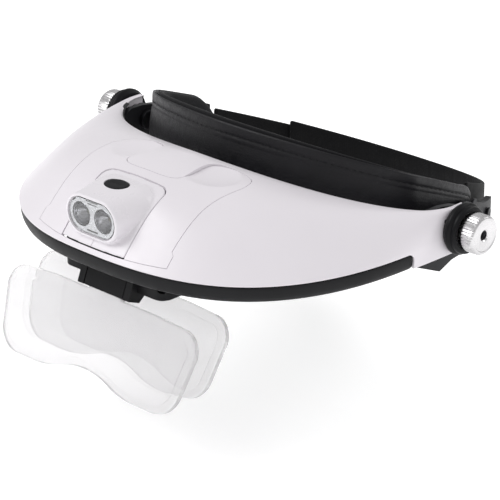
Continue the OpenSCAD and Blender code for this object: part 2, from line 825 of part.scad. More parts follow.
// Knurled thumb knob with a bore right through
module thumb_knob_left() {
    knob_x0 = 104.4;
    boss_x0 = 101.4;
    boss_r = 6.4;
    chamfer = 0.8;
    grooves = 30;
    color("silver") difference() {
        rotate([0, 90, 0]) rotate_extrude() polygon([
            [stud_r + 0.06, boss_x0], [boss_r, boss_x0], [boss_r, knob_x0], [knob_r - 0.5, knob_x0],
            [knob_r, knob_x0 + 0.5], [knob_r, knob_x - chamfer], [knob_r - chamfer, knob_x],
            [stud_r + 0.06, knob_x]]);
        for (a = [0 : 360 / grooves : 359]) rotate([a, 0, 0]) translate([0, knob_r + 0.25, 0])
            rod_x(knob_x0 + 0.6, knob_x - 1.2, 0.55);
    }
}
module thumb_knob_right() { mirror([1, 0, 0]) thumb_knob_left(); }

// The left strap lies inside the right one where they overlap at the back of the head
module strap_left() {
    out = -strap_t - 0.7;
    color([0.09, 0.09, 0.1]) difference() {
        band(-141, -24, out, out - strap_t, 0, strap_h + 3, 0, loop_z0 + 0.2, 0.41);
        band_rivet_set(false);
    }
}

module strap_right() {
    color([0.09, 0.09, 0.1]) difference() {
        band(196.5, 291, 0, -strap_t, 0, strap_h, 0, 12.8, 0.39);
        mirror([1, 0, 0]) band_rivet_set(false);
    }
}

module hook_patch() {
    out = -strap_t - 0.12;
    color([0.12, 0.12, 0.12]) band(-107, -71, out, out - 0.46, 1.5, strap_h - 1.5, 0, 12.8, 0.39);
}

// Rivets through the bracket's tail: two into the frame and one into the strap
module band_rivet_set(heads) {
    for (r = band_rivets) {
        p = loop_plan(r[0], 0);
        q = loop_plan(r[0] - 1, 0);
        translate([p.x, p.y, loop_z0 - loop_fall * p.y - r[1]])
            rotate([0, 0, atan2(p.x - q.x, q.y - p.y)]) {
                rod_x(-r[2], rivet_head_x, rivet_r);
                if (heads) rod_x(rivet_head_x - cut / 10, rivet_head_x + 0.9, 2.2);
            }
    }
}

module band_rivets_left() {
    color("silver") band_rivet_set(true);
}
module band_rivets_right() { mirror([1, 0, 0]) band_rivets_left(); }

visor_shell();
inner_liner();
rim_bumper();
pivot_cup_left();
pivot_cup_right();
cup_rivets_left();
cup_rivets_right();
lens_bracket();
bracket_screws();
lens_hinge_pin();
front_lens_holder();
front_lens();
rear_lens();
module_cover();
battery_tray();
tray_screws();
battery_cell_1();
battery_cell_2();
battery_cell_3();
contact_springs();
contact_plates();
battery_lid();
lamp_hinge_pin();
lamp_housing();
lamp_bezel();
lamp_window();
reflectors();
leds();
led_board();
switch_board();
switch_body();
switch_button();
headband_frame();
forehead_pad();
pad_cover();
side_bracket_left();
side_bracket_right();
pivot_stud_left();
pivot_stud_right();
friction_washer_left();
friction_washer_right();
thumb_knob_left();
thumb_knob_right();
strap_left();
strap_right();
hook_patch();
band_rivets_left();
band_rivets_right();
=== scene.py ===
"""Looks of the head visor magnifier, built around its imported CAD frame.

The shapes' sizes are in millimetres in the CAD frame (+X the wearer's left, -Y the front, +Z up), and mesh()
turns them into metres. The camera, the lights, the floor's height and the materials are in metres. The
curves of the shell and of the headband loop are the same formulas as in part.scad.
"""

import json
import math

import bmesh
import bpy
import numpy as np
from mathutils import Matrix, Vector


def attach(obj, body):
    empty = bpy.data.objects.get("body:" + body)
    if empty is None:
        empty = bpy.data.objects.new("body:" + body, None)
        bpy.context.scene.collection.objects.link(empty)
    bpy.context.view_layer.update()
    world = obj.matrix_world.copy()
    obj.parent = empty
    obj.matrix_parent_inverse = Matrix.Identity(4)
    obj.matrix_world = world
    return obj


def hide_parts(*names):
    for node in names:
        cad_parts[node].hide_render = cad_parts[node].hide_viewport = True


MM = 0.001
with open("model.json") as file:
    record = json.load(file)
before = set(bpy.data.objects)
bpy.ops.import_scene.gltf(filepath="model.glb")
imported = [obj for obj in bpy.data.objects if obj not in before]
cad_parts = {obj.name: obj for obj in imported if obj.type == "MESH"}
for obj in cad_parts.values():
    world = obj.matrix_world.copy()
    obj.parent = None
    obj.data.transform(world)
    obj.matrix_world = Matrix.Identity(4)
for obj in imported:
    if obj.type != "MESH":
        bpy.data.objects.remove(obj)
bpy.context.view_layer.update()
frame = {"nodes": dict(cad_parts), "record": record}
NODES = frame["nodes"]

# ---------------------------------------------------------------- camera, light and floor

CAMERA_AZIMUTH = math.radians(44.1)
CAMERA_ELEVATION = math.radians(23.06)
CAMERA_DISTANCE = 1.1089
CAMERA_LENS = 184.7
AIM_RIGHT = -0.01533
AIM_UP = -0.03592
FLOOR_Z = -0.088


def set_up_camera():
    back = Vector((
        math.sin(CAMERA_AZIMUTH) * math.cos(CAMERA_ELEVATION),
        -math.cos(CAMERA_AZIMUTH) * math.cos(CAMERA_ELEVATION),
        math.sin(CAMERA_ELEVATION),
    ))
    right = Vector((math.cos(CAMERA_AZIMUTH), math.sin(CAMERA_AZIMUTH), 0))
    up = back.cross(right)
    data = bpy.data.cameras.new("camera")
    data.lens = CAMERA_LENS
    data.sensor_width = 36
    data.clip_start = 0.01
    camera = bpy.data.objects.new("camera", data)
    place_of = Matrix.Translation(right * AIM_RIGHT + up * AIM_UP + back * CAMERA_DISTANCE)
    camera.matrix_world = place_of @ Matrix((right, up, back)).transposed().to_4x4()
    bpy.context.scene.collection.objects.link(camera)
    bpy.context.scene.camera = camera


def area_light(name, place, aim, size, power):
    data = bpy.data.lights.new(name, "AREA")
    data.shape = "RECTANGLE"
    data.size, data.size_y = size
    data.energy = power
    light = bpy.data.objects.new(name, data)
    light.location = place
    light.rotation_euler = (Vector(aim) - Vector(place)).to_track_quat("-Z", "Y").to_euler()
    bpy.context.scene.collection.objects.link(light)


def set_up_studio():
    scene = bpy.context.scene
    scene.view_settings.view_transform = "Standard"
    world = bpy.data.worlds.new("studio")
    world.use_nodes = True
    world.node_tree.nodes["Background"].inputs["Color"].default_value = (1, 1, 1, 1)
    world.node_tree.nodes["Background"].inputs["Strength"].default_value = 0.56
    scene.world = world
    area_light("key", (-0.6, -0.75, 1.0), (0, -0.03, 0), (0.9, 0.6), 8.5)
    area_light("rim", (0.5, 0.9, 0.7), (0, 0, 0), (0.8, 0.3), 3.5)
    area_light("side", (1.2, -0.5, 0.35), (0, -0.03, 0), (0.3, 0.9), 1.0)


# ---------------------------------------------------------------- materials


class Shader:
    """A Principled material with its nodes made by short calls."""

    def __init__(self, name, color, roughness, **uniform):
        self.material = bpy.data.materials.new(name)
        self.material.use_nodes = True
        self.nodes = self.material.node_tree.nodes
        self.links = self.material.node_tree.links
        self.bsdf = self.nodes["Principled BSDF"]
        self.coords = self.nodes.new("ShaderNodeTexCoord")
        self.bsdf.inputs["Base Color"].default_value = (*color, 1)
        self.bsdf.inputs["Roughness"].default_value = roughness
        for key, value in uniform.items():
            self.bsdf.inputs[key.replace("_", " ")].default_value = value
        self.color = color
        self.roughness = roughness
        self.height = None

    def noise(self, scale, detail=2.0, stretch=(1, 1, 1)):
        mapping = self.nodes.new("ShaderNodeMapping")
        mapping.inputs["Scale"].default_value = stretch
        node = self.nodes.new("ShaderNodeTexNoise")
        node.inputs["Scale"].default_value = scale
        node.inputs["Detail"].default_value = detail
        self.links.new(self.coords.outputs["Object"], mapping.inputs["Vector"])
        self.links.new(mapping.outputs["Vector"], node.inputs["Vector"])
        return node.outputs["Fac"]

    def cells(self, scale, feature="F1"):
        node = self.nodes.new("ShaderNodeTexVoronoi")
        node.feature = feature
        node.inputs["Scale"].default_value = scale
        self.links.new(self.coords.outputs["Object"], node.inputs["Vector"])
        return node.outputs["Distance"]

    def waves(self, scale, direction, space="UV"):
        node = self.nodes.new("ShaderNodeTexWave")
        node.bands_direction = direction
        node.inputs["Scale"].default_value = scale
        node.inputs["Distortion"].default_value = 0.0
        self.links.new(self.coords.outputs[space], node.inputs["Vector"])
        return node.outputs["Fac"]

    def math(self, operation, a, b):
        node = self.nodes.new("ShaderNodeMath")
        node.operation = operation
        for socket, value in zip(node.inputs, (a, b)):
            if isinstance(value, (int, float)):
                socket.default_value = value
            else:
                self.links.new(value, socket)
        return node.outputs[0]

    def spread(self, value, low, high, from_low=0.3, from_high=0.7):
        node = self.nodes.new("ShaderNodeMapRange")
        node.inputs["From Min"].default_value = from_low
        node.inputs["From Max"].default_value = from_high
        node.inputs["To Min"].default_value = low
        node.inputs["To Max"].default_value = high
        self.links.new(value, node.inputs["Value"])
        return node.outputs["Result"]

    def vary_color(self, value, other, from_low=0.35, from_high=0.65):
        mix = self.nodes.new("ShaderNodeMix")
        mix.data_type = "RGBA"
        mix.inputs["A"].default_value = (*self.color, 1)
        mix.inputs["B"].default_value = (*other, 1)
        self.links.new(self.spread(value, 0, 1, from_low, from_high), mix.inputs["Factor"])
        self.links.new(mix.outputs["Result"], self.bsdf.inputs["Base Color"])

    def vary_roughness(self, value, amount):
        low, high = self.roughness - amount, self.roughness + amount
        self.links.new(self.spread(value, low, high), self.bsdf.inputs["Roughness"])

    def bump(self, value, distance, strength=1.0):
        node = self.nodes.new("ShaderNodeBump")
        node.inputs["Distance"].default_value = distance
        node.inputs["Strength"].default_value = strength
        self.links.new(value, node.inputs["Height"])
        if self.height is not None:
            self.links.new(self.height, node.inputs["Normal"])
        self.height = node.outputs["Normal"]
        self.links.new(self.height, self.bsdf.inputs["Normal"])


def moulded_plastic(name, color, roughness, grain=2200, depth=0.00003, shift=0.9, **uniform):
    """Injection-moulded plastic: a fine spark-eroded grain, faint flow marks and an uneven gloss."""
    shader = Shader(name, color, roughness, **uniform)
    shader.vary_color(shader.noise(22, 3), tuple(c * shift for c in color))
    shader.vary_roughness(shader.noise(160, 4), 0.05)
    shader.bump(shader.noise(grain, 3), depth)
    shader.bump(shader.noise(60, 2), 0.00012, 0.25)
    return shader.material


def leatherette(name, color, roughness):
    """Soft grained leatherette: pebbles with fine creases between them."""
    shader = Shader(name, color, roughness, Specular_IOR_Level=0.3, Sheen_Weight=0.02, Sheen_Roughness=0.4)
    pebbles = shader.cells(900, "DISTANCE_TO_EDGE")
    shader.vary_color(shader.noise(45, 4), tuple(c * 1.5 for c in color))
    shader.vary_roughness(shader.noise(500, 3), 0.08)
    shader.bump(shader.spread(pebbles, 0, 1, 0.0, 0.12), 0.00006, 0.6)
    shader.bump(shader.noise(120, 5), 0.0003, 0.3)
    return shader.material


def webbing(name, color, roughness):
    """Elastic webbing: fine ribs along its length crossed by the weft."""
    shader = Shader(name, color, roughness, Specular_IOR_Level=0.12, Sheen_Weight=0.05, Sheen_Roughness=0.5)
    warp = shader.waves(420, "Y")
    weft = shader.waves(300, "X")
    weave = shader.math("MULTIPLY", warp, weft)
    shader.vary_color(weave, tuple(c * 1.7 for c in color), 0.2, 1.0)
    shader.vary_roughness(shader.noise(300, 3), 0.05)
    shader.bump(weave, 0.0001, 0.5)
    shader.bump(shader.noise(2500, 2), 0.00008, 0.5)
    return shader.material


def turned_metal(name, color, roughness, axis_scale, depth=0.00002):
    """Turned metal: fine lathe marks round the X axis, with an uneven colour and gloss."""
    shader = Shader(name, color, roughness, Metallic=1.0)
    marks = shader.noise(axis_scale, 2, stretch=(6, 1, 1))
    shader.vary_color(shader.noise(90, 3), tuple(c * 0.86 for c in color))
    shader.vary_roughness(shader.noise(700, 3), 0.06)
    shader.bump(marks, depth)
    return shader.material


def cloth(name, color, roughness):
    shader = Shader(name, color, roughness, Specular_IOR_Level=0.12, Sheen_Weight=0.08, Sheen_Roughness=0.6)
    shader.vary_color(shader.noise(1500, 3), tuple(c * 1.9 for c in color))
    shader.vary_roughness(shader.noise(900, 2), 0.04)
    shader.bump(shader.noise(3200, 3), 0.00012)
    shader.bump(shader.cells(1300), 0.0001, 0.5)
    return shader.material


def clear_plastic(name, tint, roughness, scratch, **uniform):
    shader = Shader(name, tint, roughness, **{"Transmission_Weight": 1.0, "IOR": 1.49, **uniform})
    shader.vary_roughness(shader.noise(35, 3), roughness * 0.6)
    shader.vary_color(shader.noise(14, 2), tuple(c * 0.985 for c in tint))
    shader.bump(shader.noise(scratch, 2, stretch=(1, 1, 7)), 0.000004, 0.3)
    return shader.material


def circuit_board(name):
    shader = Shader(name, (0.03, 0.16, 0.06), 0.35, Coat_Weight=0.4)
    tracks = shader.cells(700)
    shader.vary_color(tracks, (0.30, 0.22, 0.08), 0.55, 0.6)
    shader.vary_roughness(shader.noise(400, 2), 0.06)
    shader.bump(tracks, 0.00004)
    return shader.material


def cell_sleeve(name):
    """A battery's shrink sleeve: plain bands in two colours, no lettering."""
    shader = Shader(name, (0.62, 0.40, 0.08), 0.28, Metallic=0.6, Coat_Weight=0.5)
    bands = shader.waves(14, "X", space="Object")
    shader.vary_color(bands, (0.02, 0.02, 0.022), 0.45, 0.5)
    shader.vary_roughness(shader.noise(300, 2), 0.05)
    shader.bump(shader.noise(500, 2), 0.00002)
    return shader.material


WHITE = (0.80, 0.765, 0.806)

MATERIALS = {
    "white_shell": moulded_plastic("white_shell", WHITE, 0.33, grain=2600, depth=0.000012, shift=0.975),
    "white_lamp": moulded_plastic("white_lamp", (0.79, 0.76, 0.798), 0.3, grain=2600, depth=0.000012,
                                  shift=0.975),
    "trim": moulded_plastic("trim", (0.008, 0.008, 0.009), 0.48, shift=1.5, Specular_IOR_Level=0.16),
    "liner": moulded_plastic("liner", (0.016, 0.016, 0.018), 0.6, shift=1.4, Specular_IOR_Level=0.25),
    "black_plastic": moulded_plastic("black_plastic", (0.005, 0.005, 0.006), 0.4, shift=1.6,
                                     Specular_IOR_Level=0.14),
    "bracket_grey": moulded_plastic("bracket_grey", (0.014, 0.014, 0.016), 0.42, shift=1.3,
                                    Specular_IOR_Level=0.18),
    "band_plastic": moulded_plastic("band_plastic", (0.008, 0.008, 0.009), 0.5, shift=1.4,
                                    Specular_IOR_Level=0.16),
    "foam": cloth("foam", (0.004, 0.004, 0.005), 0.85),
    "leatherette": leatherette("leatherette", (0.0042, 0.004, 0.0055), 0.42),
    "webbing": webbing("webbing", (0.004, 0.004, 0.0045), 0.75),
    "hook_pile": cloth("hook_pile", (0.012, 0.012, 0.013), 0.95),
    "steel": turned_metal("steel", (0.52, 0.52, 0.54), 0.3, 2500),
    "knob": turned_metal("knob", (0.72, 0.71, 0.72), 0.3, 3000, depth=0.000012),
    "cell": cell_sleeve("cell"),
    "contact": turned_metal("contact", (0.66, 0.65, 0.6), 0.25, 1500),
    "bezel": moulded_plastic("bezel", (0.62, 0.62, 0.64), 0.28, shift=0.9, Metallic=0.75),
    "lamp_window": clear_plastic("lamp_window", (0.97, 0.975, 0.98), 0.02, 400),
    "reflector": turned_metal("reflector", (0.34, 0.34, 0.36), 0.12, 900, depth=0.000004),
    "led": clear_plastic("led", (0.8, 0.78, 0.62), 0.08, 900),
    "circuit_board": circuit_board("circuit_board"),
    "button": moulded_plastic("button", (0.005, 0.005, 0.006), 0.6, grain=3000, shift=1.5,
                              Specular_IOR_Level=0.25),
    "lens": clear_plastic("lens", (0.87, 0.862, 0.872), 0.03, 300,
                          Transmission_Weight=0.74, IOR=1.3, Alpha=0.86),
    "stitch": cloth("stitch", (0.006, 0.006, 0.007), 0.7),
    "dark_steel": turned_metal("dark_steel", (0.03, 0.03, 0.033), 0.45, 2500),
}

# ---------------------------------------------------------------- mesh tools

SHARP = math.radians(38)


def mesh(name, points, faces, sharp=SHARP):
    """A new object from points in millimetres, its normals outwards, smooth up to the sharp angle."""
    data = bpy.data.meshes.new(name)
    data.from_pydata([tuple(float(c) * MM for c in p) for p in points], [], faces)
    obj = bpy.data.objects.new(name, data)
    bpy.context.scene.collection.objects.link(obj)
    tidy(obj, sharp)
    return obj


def tidy(obj, sharp=SHARP):
    work = bmesh.new()
    work.from_mesh(obj.data)
    bmesh.ops.remove_doubles(work, verts=work.verts, dist=1e-7)
    bmesh.ops.recalc_face_normals(work, faces=work.faces)
    work.to_mesh(obj.data)
    work.free()
    obj.data.shade_smooth()
    obj.data.set_sharp_from_angle(angle=sharp)


def grid_faces(rows, columns, wrap):
    """Quads between rows of points; wrap closes each row into a ring."""
    faces = []
    for i in range(rows - 1):
        for j in range(columns if wrap else columns - 1):
            k = (j + 1) % columns
            faces.append((i * columns + j, i * columns + k, (i + 1) * columns + k, (i + 1) * columns + j))
    return faces


def loft(name, rings, sharp=SHARP, closed=False):
    """A bar through rings of points, its ends filled, or its last ring joined to the first if closed."""
    rows, columns = len(rings), len(rings[0])
    points = [p for ring in rings for p in ring]
    faces = grid_faces(rows, columns, True)
    if closed:
        last = (rows - 1) * columns
        faces += [(last + j, last + (j + 1) % columns, (j + 1) % columns, j) for j in range(columns)]
    else:
        faces.append(tuple(range(columns)))
        faces.append(tuple((rows - 1) * columns + j for j in range(columns)))
    return mesh(name, points, faces, sharp)


def settle(obj):
    """Applies the object's modifiers to its mesh."""
    graph = bpy.context.evaluated_depsgraph_get()
    data = bpy.data.meshes.new_from_object(obj.evaluated_get(graph))
    obj.modifiers.clear()
    obj.data = data
    return obj


def cut(obj, tool, operation="DIFFERENCE"):
    step = obj.modifiers.new("cut", "BOOLEAN")
    step.operation = operation
    step.solver = "EXACT"
    step.object = tool
    bpy.context.view_layer.update()
    settle(obj)
    bpy.data.objects.remove(tool)
    return obj


def copy_of(obj, name):
    twin = obj.copy()
    twin.data = obj.data.copy()
    twin.name = name
    bpy.context.scene.collection.objects.link(twin)
    return twin


def bevel(obj, width):
    """Rounds the sharp edges and evens out the shading across flat faces."""
    step = obj.modifiers.new("bevel", "BEVEL")
    step.width = width * MM
    step.segments = 3
    step.limit_method = "ANGLE"
    step.angle_limit = math.radians(35)
    step.harden_normals = True
    step.use_clamp_overlap = True
    bpy.context.view_layer.update()
    return settle(obj)


def rounded_node(node, width):
    """A copy of a CAD node with its edges rounded, in place of the node."""
    source = NODES[node]
    twin = copy_of(source, node + "_piece")
    twin.parent = None
    twin.matrix_world = Matrix.Identity(4)
    work = bmesh.new()
    work.from_mesh(twin.data)
    bmesh.ops.remove_doubles(work, verts=work.verts, dist=1e-6)
    bmesh.ops.dissolve_limit(work, angle_limit=math.radians(2), verts=work.verts, edges=work.edges)
    work.to_mesh(twin.data)
    work.free()
    twin.data.shade_smooth()
    twin.data.set_sharp_from_angle(angle=SHARP)
    return bevel(twin, width)


def place(obj, body, material, *nodes, slot=None):
    """Hands a finished piece to the frame: its material, its body and the CAD nodes it stands for."""
    obj.data.materials.clear()
    obj.data.materials.append(MATERIALS[material])
    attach(obj, body)
    if nodes:
        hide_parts(*nodes)
    return obj


def turns(steps):
    """Even steps round a whole turn."""
    return [2 * math.pi * k / steps for k in range(steps)]


def lathe(name, profile, axis_x, steps=96):
    """Turns a closed profile of (radius, x) about the tilt axis: axis_x is 1 on the left, -1 on the right."""
    rings = [[(axis_x * x, r * math.cos(a), r * math.sin(a)) for r, x in profile] for a in turns(steps)]
    return loft(name, rings, closed=True)


def lathe_forward(name, profile, x, z, steps=64, sharp=SHARP):
    """Turns a profile of (radius, y) about an axis along Y."""
    rings = [[(x + r * math.cos(a), y, z + r * math.sin(a)) for r, y in profile] for a in turns(steps)]
    return loft(name, rings, closed=True, sharp=sharp)


def smooth_path(points, count):
    """Catmull-Rom through the points, evenly stepped."""
    points = np.array(points, float)
    n = len(points)
    out = []
    for i in range(n - 1):
        a, b, c, d = points[max(i - 1, 0)], points[i], points[i + 1], points[min(i + 2, n - 1)]
        for k in range(count):
            u = k / count
            out.append(0.5 * (2 * b + (c - a) * u + (2 * a - 5 * b + 4 * c - d) * u * u
                              + (3 * b - a - 3 * c + d) * u ** 3))
    out.append(points[-1])
    return out


# ---------------------------------------------------------------- the shell's surface

RIM_HALF_W, RIM_DEPTH = 97, 112.4
RIM_Z, RIM_SLOPE = -3.3, 0.0352
RIM_POWER = 2.65
RIM_LIFT = 0.6
NOSE_OUT, NOSE_UP, NOSE_POW = 3.6, 2.1, 16
ARM_LOW_Z = -10.9
SHOULDER_DEPTH, SHOULDER_IN, SHOULDER_LOW_Z, SHOULDER_OVER_TOP = 93.2, 0.4, 9.2, 1.4
SHOULDER_POWERS = (2.25, 1.4)
SHOULDER_RISE_POWER = 1.33
OPENING_DEPTH, OPENING_IN, OPENING_LOW_Z = 53, 1.4, 8.2
OPENING_POWERS = (1.27, 1.76)
OPENING_RISE_POWER = 2.35
TOP_Z = 22.7
SHELL_T = 2.0
TRIM_H = 7.6
TRIM_END_Y = -26.2
TRIM_END_R = 3.0


def spow(v, p):
    return np.sign(v) * np.abs(v) ** p


def plan(a, b, px, py, t):
    t = np.radians(t)
    return a * spow(np.cos(t), px), -b * np.maximum(np.sin(t), 0) ** py


def rim(t, o=0.0, lift=0.0):
    x, y = plan(RIM_HALF_W - o, RIM_DEPTH - o, 2 / RIM_POWER, 2 / RIM_POWER, t)
    nose = max(math.sin(math.radians(t)), 0) ** NOSE_POW
    return np.array([x, y - NOSE_OUT * nose, RIM_Z + RIM_SLOPE * y + NOSE_UP * nose + lift])


def shoulder(t, o=0.0):
    px, py = SHOULDER_POWERS
    x, y = plan(RIM_HALF_W - SHOULDER_IN - o, SHOULDER_DEPTH - 0.6 * o, 2 / px, 2 / py, t)
    s = -y / SHOULDER_DEPTH
    rise = TOP_Z + SHOULDER_OVER_TOP - SHOULDER_LOW_Z
    return np.array([x, y, SHOULDER_LOW_Z + rise * s ** SHOULDER_RISE_POWER - o * s])


def opening(t, o=0.0):
    px, py = OPENING_POWERS
    x, y = plan(RIM_HALF_W - OPENING_IN - o, OPENING_DEPTH, 2 / px, 2 / py, t)
    s = -y / OPENING_DEPTH
    return np.array([x, y, OPENING_LOW_Z + (TOP_Z - OPENING_LOW_Z) * s ** OPENING_RISE_POWER - o * s])


def skin(t, v, o=0.0):
    """A point of the shell: t goes from the left arm to the right one, v up from the rim to the opening."""
    k0, k1, k2 = (1 - v) ** 2, 4 * v * (1 - v), v * v
    return (rim(t, o, RIM_LIFT) * k0 + shoulder(t, o) * k1 + opening(t, o) * k2) / (k0 + k1 + k2)


def angle_at(y):
    """The station whose rim is at y on the left side."""
    return math.degrees(math.asin((-y / RIM_DEPTH) ** (RIM_POWER / 2)))


def trim_top(t):
    """Height of the line between the white shell and the black bumper, rounded off at the bumper's end."""
    _, y, z = rim(t)
    into = y - (TRIM_END_Y - TRIM_END_R)
    if into > 0:
        z -= TRIM_END_R - math.sqrt(max(TRIM_END_R ** 2 - into ** 2, 0))
    return z


def shell_low(t):
    """Lower edge of the white shell: along the bumper, and lower on the bare arms behind it."""
    return ARM_LOW_Z if rim(t)[1] > TRIM_END_Y else trim_top(t)


def stations():
    """Stations along the shell as (angle, shift back), closer at the arms and at the bumper's ends."""
    step, tail = 1.25, 5.2
    end_marks = [0.02, -0.02, -0.25, -0.7, -1.3, -2.0, -2.6, -3.0]
    arm = [(0, tail), (0, tail * 0.5), (0, 0)]
    arm += [(angle_at(y), 0) for y in (-0.8, -2.5, -5, -8, -11, -14, -17, -20, -23)]
    arm += [(angle_at(TRIM_END_Y + m), 0) for m in end_marks]
    start = arm[-1][0]
    count = round((180 - 2 * start) / step)
    middle = [(start + (180 - 2 * start) * i / count, 0) for i in range(1, count)]
    return arm + middle + [(180 - t, dy) for t, dy in reversed(arm)]


V_STEPS = [0, 0.02, 0.05] + [0.05 + 0.93 * i / 30 for i in range(1, 31)]
LIP = [0.15, 0.35, 0.6, 0.85]


def shell_ring(t, dy, outer=0.0, inner=SHELL_T, low=None):
    """One closed cross section of a layer of the shell, with a rounded lip at the opening."""
    edge = 0.35
    shift = np.array([0, dy, 0])
    base = rim(t, outer)
    z_low = shell_low(t) if low is None else base[2] + low
    out = [skin(t, v, outer) for v in V_STEPS]
    inn = [skin(t, v, inner) for v in reversed(V_STEPS)]
    tangent = skin(t, 1.0, outer) - out[-1]
    tangent = tangent / np.linalg.norm(tangent)
    half = (inn[0] - out[-1]) / 2
    middle = (inn[0] + out[-1]) / 2
    reach = 0.45 * np.linalg.norm(half)
    lip = [middle - half * math.cos(math.pi * a) + tangent * reach * math.sin(math.pi * a) for a in LIP]
    bottom = [rim(t, inner), rim(t, inner - edge), rim(t, outer + edge), rim(t, outer)]
    for point, rise in zip(bottom, (edge, 0, 0, edge)):
        point[2] = z_low + rise
    ring = out + lip + inn + bottom
    return [p + shift for p in ring]


def shell_solid(name):
    return loft(name, [shell_ring(t, dy) for t, dy in stations()])


def prism(name, outline, z0, z1):
    """A vertical prism on a closed outline of (x, y)."""
    n = len(outline)
    points = [(x, y, z0) for x, y in outline] + [(x, y, z1) for x, y in outline]
    faces = [tuple(range(n)), tuple(range(n, 2 * n))]
    faces += [(i, (i + 1) % n, n + (i + 1) % n, n + i) for i in range(n)]
    return mesh(name, points, faces)


def box(name, low, high):
    (x0, y0, z0), (x1, y1, z1) = low, high
    return prism(name, [(x0, y0), (x1, y0), (x1, y1), (x0, y1)], z0, z1)


def ball(name, centre, radius, steps):
    rings = []
    for k in range(1, steps // 2):
        a = math.pi * k / (steps // 2)
        r, z = radius * math.sin(a), centre[2] + radius * math.cos(a)
        rings.append([(centre[0] + r * math.cos(b), centre[1] + r * math.sin(b), z) for b in turns(steps)])
    return loft(name, rings)


# ---------------------------------------------------------------- module outline, in plan

MODULE_HALF_W = 38.3
MODULE_LATCH_W = 37.6
MODULE_LOW_Z = -2.95
# Beyond the whole visor: the height and the front that the cutting prisms reach
OVER_ALL_Z, AHEAD_Y = 60, -130
LAMP_HALF_W = 18.4
LAMP_BACK = -87.0
HINGE_Y, HINGE_Z = -111.6, -1.1
# Half of the line between the shell and the pull-off module: round the tongue, over the finger scallop,
# to the corner tick, then straight forward
TONGUE_CURVE = [
    (0, -82), (7, -81.9), (12.5, -81), (15.6, -78.6), (15.9, -75), (14.8, -69), (14, -63.5),
    (14.6, -59.4), (17.4, -56.6), (22, -55.2), (27, -54.9), (31.5, -55.4), (34.6, -56.8), (36.2, -59),
    (37.5, -62.4), (38.1, -66), (37.9, -72), (37.2, -80), (36.6, -88), (36.3, -98), (36.2, -103.8),
]


def module_outline(gap):
    """The module's outline shrunk by gap on every side."""
    right = [tuple(p) for p in smooth_path(TONGUE_CURVE, 5)]
    centre = np.array([27, -85])
    half = []
    for i, (x, y) in enumerate(right):
        a = np.array(right[max(i - 1, 0)])
        b = np.array(right[min(i + 1, len(right) - 1)])
        d = (b - a) / np.linalg.norm(b - a)
        normal = np.array([d[1], -d[0]])
        if np.dot(normal, centre - np.array([x, y])) < 0 and i > len(right) * 0.5:
            normal = -normal
        half.append((x + normal[0] * gap if x > 0 else 0, y + normal[1] * gap))
    half += [(MODULE_LATCH_W - gap, half[-1][1] - 0.7), (MODULE_LATCH_W + 0.4 - gap, AHEAD_Y)]
    return half + [(-x, y) for x, y in reversed(half) if x > 0]


def lamp_outline(gap):
    """The lamp plate's outline in plan, with rounded top corners."""
    half_w = LAMP_HALF_W - gap
    top = LAMP_BACK - gap
    rx, ry = 5, 4.4
    corner = [(half_w - rx + rx * math.cos(a), top - ry + ry * math.sin(a))
              for a in (math.radians(d) for d in range(0, 91, 10))]
    half = [(half_w, AHEAD_Y)] + corner
    return half + [(-x, y) for x, y in reversed(half)]


SCALLOPS = ((26.5, -65), (-26.5, -65))
SCALLOP_R = 57
SCALLOP_LOW = 19.35
SCALLOP_STEPS = 300
# The stations between which the strip under the lamp's plate is relieved
RELIEF_FROM, RELIEF_TO = 96.4, 83.6


def hinge_relief():
    """Room behind the strip under the lamp's plate, where the plate's bottom edge swings down as it tilts."""
    rings = []
    for t in np.linspace(RELIEF_FROM, RELIEF_TO, 25):
        # The height on the skin where the module ends, found by halving
        low, high = 0.0, 0.3
        for _ in range(30):
            v = (low + high) / 2
            if skin(t, v)[2] < MODULE_LOW_Z:
                low = v
            else:
                high = v
        x, y, z = skin(t, high)
        r = math.hypot(y - HINGE_Y, z - HINGE_Z) - 0.05
        rings.append([(x, HINGE_Y + r * math.cos(a), HINGE_Z + r * math.sin(a))
                      for a in turns(48)])
    return loft("tool", rings)


def build_shell_and_module():
    seam, lamp_clearance = 0.12, 0.2
    solid = shell_solid("visor_shell_piece")
    cover = copy_of(solid, "module_cover_piece")
    plate = copy_of(solid, "lamp_plate_piece")
    cut(solid, prism("tool", module_outline(-seam), MODULE_LOW_Z - seam / 2, OVER_ALL_Z))
    cut(solid, hinge_relief())
    cut(cover, prism("tool", module_outline(seam), MODULE_LOW_Z + seam, OVER_ALL_Z), "INTERSECT")
    cut(cover, prism("tool", lamp_outline(-lamp_clearance), -20, OVER_ALL_Z))
    cut(plate, prism("tool", lamp_outline(seam), MODULE_LOW_Z + seam, OVER_ALL_Z), "INTERSECT")
    for x, y in SCALLOPS:
        cut(cover, ball("tool", (x, y, SCALLOP_LOW + SCALLOP_R), SCALLOP_R, SCALLOP_STEPS))
    for obj in (solid, cover):
        tidy(obj)
    place(solid, "visor", "white_shell", "visor_shell")
    place(cover, "lamp_module", "white_shell", "module_cover")
    return plate


# ---------------------------------------------------------------- bumper and liner

# Across the bumper: how far in from the rim, and how far down from its top (0) to its bottom (1)
BUMPER_SECTION = [
    (1.1, 0.0), (0.62, 0.015), (0.42, 0.06), (0.38, 0.2), (0.5, 0.42), (0.9, 0.66), (1.6, 0.85), (2.4, 0.95),
    (3.4, 1.0), (4.9, 1.0), (5.5, 0.97), (5.8, 0.9), (5.4, 0.5), (5.1, 0.05), (4.8, 0.0),
]
BUMPER_IN = 5.8
BUMPER_SEAM = 0.12
BUMPER_STEPS = 130


